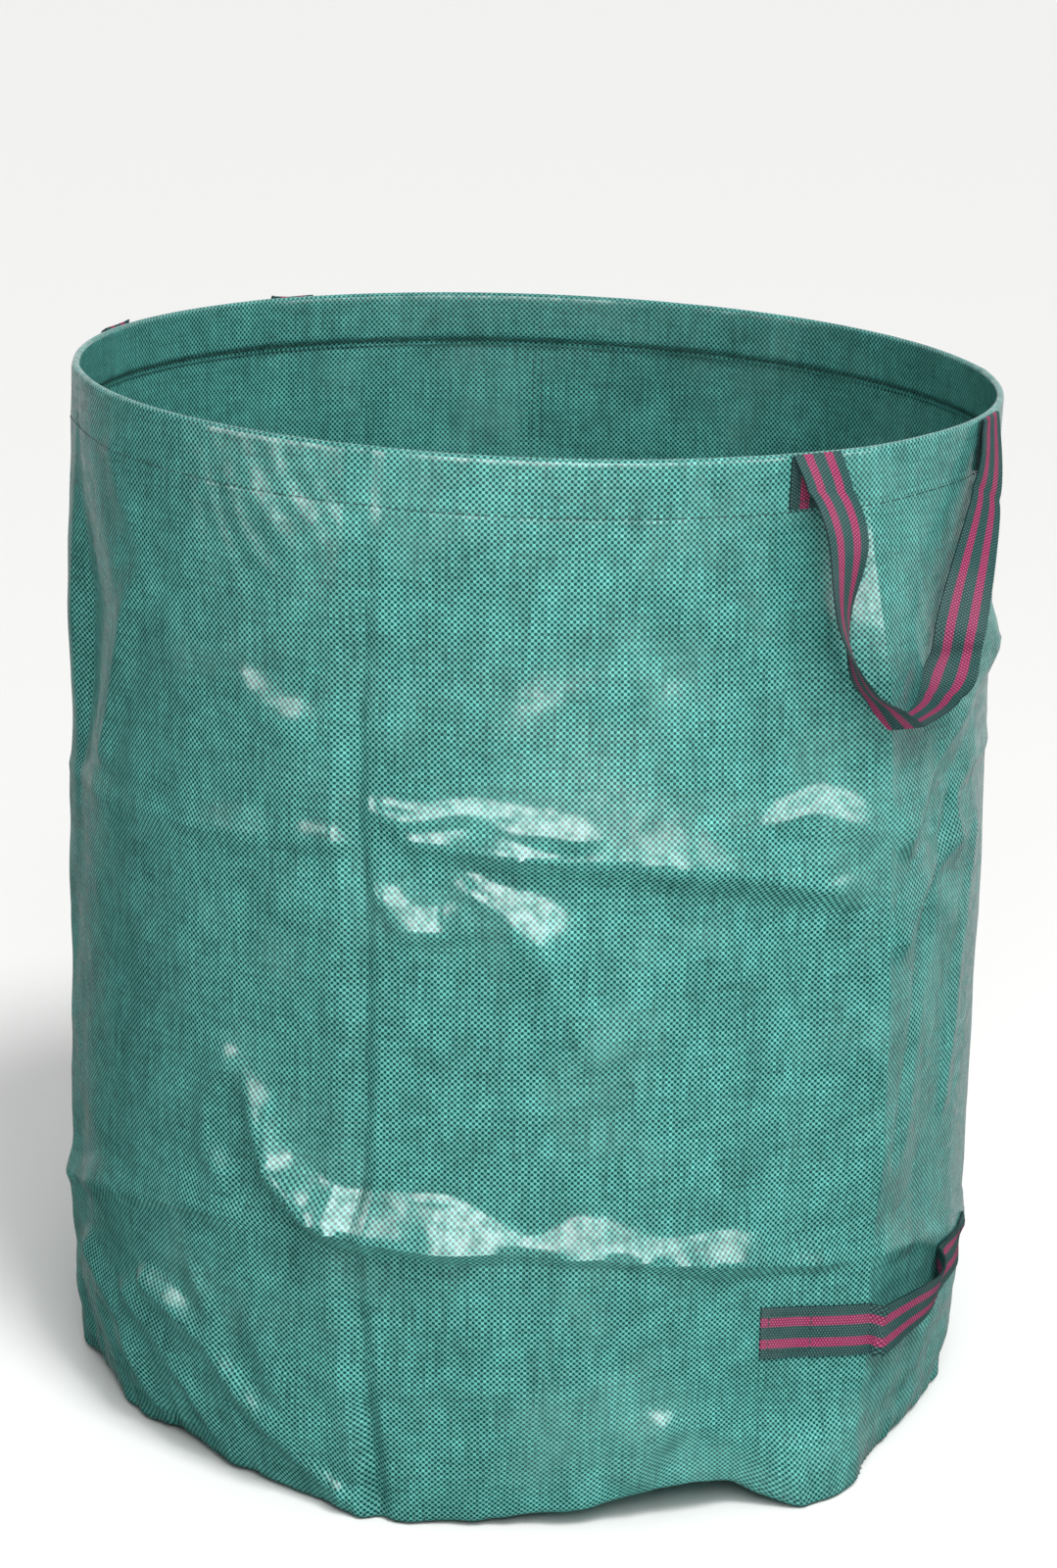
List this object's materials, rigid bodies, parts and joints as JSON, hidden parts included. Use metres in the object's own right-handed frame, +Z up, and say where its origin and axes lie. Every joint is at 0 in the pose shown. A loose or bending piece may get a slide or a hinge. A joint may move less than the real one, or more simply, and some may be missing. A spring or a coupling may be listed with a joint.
{
  "type": "garden waste bag",
  "caption": "Round, open bag of woven cloth on a flat plastic hoop, with two hanging carrying handles at the rim and a tipping handle low on the wall.",
  "frame": {"origin": "middle of the base's underside, on the ground", "axes": "+Z up through the open top; -Y towards the front of the picture; +X towards the handle that hangs at the right"},
  "size_m": [0.6879, 0.6728, 0.7682],
  "materials": {
    "cloth": "coated woven tape, glossy film over a fine dark and mint-green check",
    "hoop_plastic": "satin black plastic strip",
    "thread": "dark green sewing thread",
    "webbing": "ribbed dark green webbing with two pink stripes"
  },
  "bodies": {
    "base": {"side_wall_lower": "cloth", "side_wall_upper": "cloth", "base_panel": "cloth", "base_stitching": "thread", "seam_stitching_lower": "thread", "seam_stitching_upper": "thread", "tipping_handle_front_end": "webbing", "tipping_handle_rear_end": "webbing", "tipping_handle_front_stitching": "thread", "tipping_handle_rear_stitching": "thread"},
    "rim": {"rim_hem": "cloth", "rim_hoop": "hoop_plastic", "hoop_sleeve": "hoop_plastic", "hem_stitching": "thread", "right_handle_front_end": "webbing", "right_handle_rear_end": "webbing", "right_handle_front_stitching": "thread", "right_handle_rear_stitching": "thread", "left_handle_front_end": "webbing", "left_handle_rear_end": "webbing", "left_handle_front_stitching": "thread", "left_handle_rear_stitching": "thread"},
    "right_handle": {"right_handle_loop": "webbing"},
    "left_handle": {"left_handle_loop": "webbing"},
    "tipping_handle": {"tipping_handle_loop": "webbing"}
  },
  "joints": [
    {"name": "rim_collapse", "type": "slide", "parent": "base", "child": "rim", "axis": [0, 0, -1], "range_m": [0, 0.4], "deforming": ["side_wall_upper", "seam_stitching_upper"]},
    {"name": "right_handle_swing", "type": "hinge", "parent": "rim", "child": "right_handle", "pos_m": [0.24761, -0.20558, 0.75517], "axis": [-0.6387, -0.7694, 0.0042], "range_deg": [0, 170]},
    {"name": "left_handle_swing", "type": "hinge", "parent": "rim", "child": "left_handle", "pos_m": [-0.2576, 0.19343, 0.76729], "axis": [0.6004, 0.7997, -0.0033], "range_deg": [0, 170]},
    {"name": "tipping_handle_swing", "type": "hinge", "parent": "base", "child": "tipping_handle", "pos_m": [0.27209, -0.19088, 0.141], "axis": [-0.5512, -0.8344, 0], "range_deg": [0, 55]}
  ]
}
